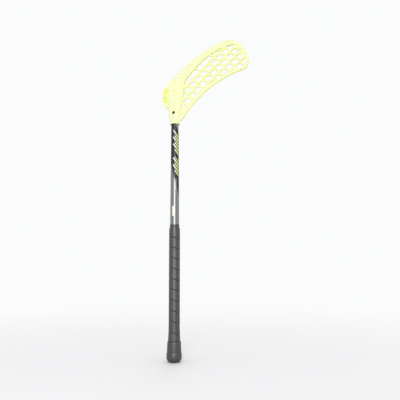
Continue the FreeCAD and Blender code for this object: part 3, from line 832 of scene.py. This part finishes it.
def moulded_rubber():
    finish, tree, shader, place = new_finish("moulded_rubber")
    set_sockets(shader, {"Specular IOR Level": 1.0})
    dust = noise(tree, place, scale=140.0, detail=4.0)
    colour_by(tree, shader, dust, RUBBER_BLACK, RUBBER_DUSTY)
    add_bump(tree, shader, noise(tree, place, scale=1500.0), distance=0.06 * MM, strength=0.5)
    vary_roughness(tree, shader, dust, smooth=0.36, rough=0.48)
    return finish


cap_finish = moulded_rubber()
print("made", cap_finish.name)

# %% Butt cap stages
cap_low, cap_high = (Vector(corner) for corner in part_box("end_cap"))
FOOT_RADIUS = (cap_high.x - cap_low.x) / 2
CAP_FLOOR = 6 * MM
FOOT_TOP = (17 * MM, FOOT_RADIUS)
SHOULDER = (23.8 * MM, 18.2 * MM)
GROOVE = ((24.4 * MM, 17.6 * MM), (25.1 * MM, 17.6 * MM))
COLLAR_FOOT = (25.6 * MM, 18.0 * MM)
COLLAR_TOP = (47 * MM, 17.3 * MM)
LIP = ((49.3 * MM, 16.4 * MM), (cap_high.z, 13.6 * MM))
BORE = ((cap_high.z, GRIP_BORE), (CAP_FLOOR, GRIP_BORE))
CAP_STAGES = (FOOT_TOP, SHOULDER, *GROOVE, COLLAR_FOOT, COLLAR_TOP, *LIP, *BORE)


def extrude_to(height, radius, former_height, former_radius):
    """Extrudes the selected cap face to a height and scales it to a radius."""
    bpy.ops.mesh.extrude_region_move(TRANSFORM_OT_translate={"value": (0, 0, height - former_height)})
    ratio = radius / former_radius
    bpy.ops.transform.resize(value=(ratio, ratio, 1))


nothing_selected()
bpy.ops.mesh.primitive_cylinder_add(
    vertices=96,
    radius=FOOT_RADIUS,
    depth=FOOT_TOP[0],
    location=(0, 0, FOOT_TOP[0] / 2),
)
cap = bpy.context.object
cap.name = "rubber_cap"
bpy.ops.object.transform_apply(location=True, rotation=True, scale=True)
edit_where(cap, "FACE", lambda face: face.normal.z > FACING)
for former_stage, stage in zip(CAP_STAGES, CAP_STAGES[1:]):
    extrude_to(*stage, *former_stage)
bpy.ops.object.mode_set(mode="OBJECT")
print("cap built in", len(CAP_STAGES), "stages")

# %% Butt cap roundings
FOOT_ROUNDING = 10.5 * MM
SHOULDER_ROUNDING = 3 * MM
COLLAR_ROUNDING = 2 * MM
ON_RING = 0.05 * MM


def round_ring(piece, height, radius, rounding, segments):
    """Bevels the ring of edges at a height and radius."""

    def on_ring(edge):
        ends = [piece.data.vertices[index].co for index in edge.vertices]
        level = all(abs(end.z - height) < ON_RING for end in ends)
        return level and all(abs(end.xy.length - radius) < ON_RING for end in ends)

    edit_where(piece, "EDGE", on_ring)
    bpy.ops.mesh.bevel(offset=rounding, segments=segments, affect="EDGES")
    bpy.ops.object.mode_set(mode="OBJECT")


round_ring(cap, cap_low.z, FOOT_RADIUS, FOOT_ROUNDING, segments=10)
round_ring(cap, *FOOT_TOP, SHOULDER_ROUNDING, segments=5)
round_ring(cap, *COLLAR_TOP, COLLAR_ROUNDING, segments=4)
smooth_up_to(cap, degrees=40)
dress(cap, cap_finish, "end_cap")

# %% [markdown]
# ## Stage and light
#
# The stick stands in a bright white studio. A floor disc catches the soft shadow at the butt and
# fades into the white world before its edge could show. Two tall soft lamps stand in front, close
# to the camera, as in the picture. One lamp could do both of their jobs, but a highlight as broad
# as in the picture would then wash out the yellow. So the narrower lamp lights the colours and
# isn't mirrored, and the wider one shows only in the gloss, where it draws the bright line down the
# shaft and the grip. A weak lamp behind keeps the back from going dull, and the world fills the
# shadows.

# %% Floor
FLOOR_RADIUS = 1.6
FLOOR_FADE_MIDDLE = 0.75
FLOOR_FADE_HALF_WIDTH = 0.6
FLOOR_LIT = (0.9, 0.9, 0.9, 1)
FLOOR_SEEN = (0.96, 0.96, 0.965, 1)


def seen_rays(tree):
    """1 for what the camera sees, straight or by way of gloss or glass, and 0 for light."""
    path = tree.nodes.new("ShaderNodeLightPath").outputs
    return any_of(tree, path["Is Camera Ray"], path["Is Glossy Ray"], path["Is Transmission Ray"])


nothing_selected()
bpy.ops.mesh.primitive_circle_add(vertices=96, radius=FLOOR_RADIUS, fill_type="NGON")
floor = bpy.context.object
floor.name = "studio_floor"
floor_finish, tree, shader, place = new_finish("studio_floor")
set_sockets(shader, {"Roughness": 0.9, "Specular IOR Level": 0.0})
colour_by(tree, shader, seen_rays(tree), FLOOR_LIT, FLOOR_SEEN)
distance = add_node(tree, "ShaderNodeVectorMath", {0: place}, operation="LENGTH").outputs["Value"]
faded = soft_step(tree, distance, FLOOR_FADE_MIDDLE, FLOOR_FADE_HALF_WIDTH)
tree.links.new(calculate(tree, "SUBTRACT", 1.0, faded), shader.inputs["Alpha"])
floor.data.materials.append(floor_finish)
print("floor fades out at", round(FLOOR_FADE_MIDDLE + FLOOR_FADE_HALF_WIDTH, 2), "m")

# %% World
WORLD_LIGHT = {"Color": (0.985, 0.985, 1.0, 1), "Strength": 0.79}
WORLD_SEEN = {"Color": (0.96, 0.965, 0.97, 1), "Strength": 1.0}

world = bpy.data.worlds.new("white_studio")
bpy.context.scene.world = world
world.use_nodes = True
tree = world.node_tree
light = tree.nodes["Background"]
set_sockets(light, WORLD_LIGHT)
white = add_node(tree, "ShaderNodeBackground", WORLD_SEEN)
choices = {0: seen_rays(tree), 1: light.outputs[0], 2: white.outputs[0]}
shown = add_node(tree, "ShaderNodeMixShader", choices)
tree.links.new(shown.outputs[0], tree.nodes["World Output"].inputs["Surface"])
print("world", world.name, "gives", WORLD_LIGHT["Strength"], "of plain white light")


# %% Lamps
def soft_lamp(name, place, aim, size, power):
    """A rectangular lamp, turned to face a point."""
    lamp_data = bpy.data.lights.new(name, "AREA")
    lamp_data.shape = "RECTANGLE"
    lamp_data.size, lamp_data.size_y = size
    lamp_data.energy = power
    lamp = bpy.data.objects.new(name, lamp_data)
    lamp.location = place
    lamp.rotation_euler = (Vector(aim) - Vector(place)).to_track_quat("-Z", "Y").to_euler()
    bpy.context.scene.collection.objects.link(lamp)
    print(name, "gives", power, "W")
    return lamp


UPPER_SHAFT = (0.03, 0, 0.5)
MIDDLE_SHAFT = (0.03, 0, 0.4)

key_lamp = soft_lamp("key_lamp", place=(0.27, -1.5, 0.64), aim=UPPER_SHAFT, size=(0.55, 1.2), power=7.2)
key_lamp.visible_glossy = False
shine_lamp = soft_lamp("shine_lamp", place=(0.37, -1.5, 0.5), aim=MIDDLE_SHAFT, size=(0.9, 1.7), power=17.3)
shine_lamp.visible_diffuse = False
soft_lamp("back_lamp", place=(-0.3, 1.5, 1.3), aim=MIDDLE_SHAFT, size=(1.0, 1.0), power=5)
bpy.context.scene.view_settings.view_transform = "Standard"
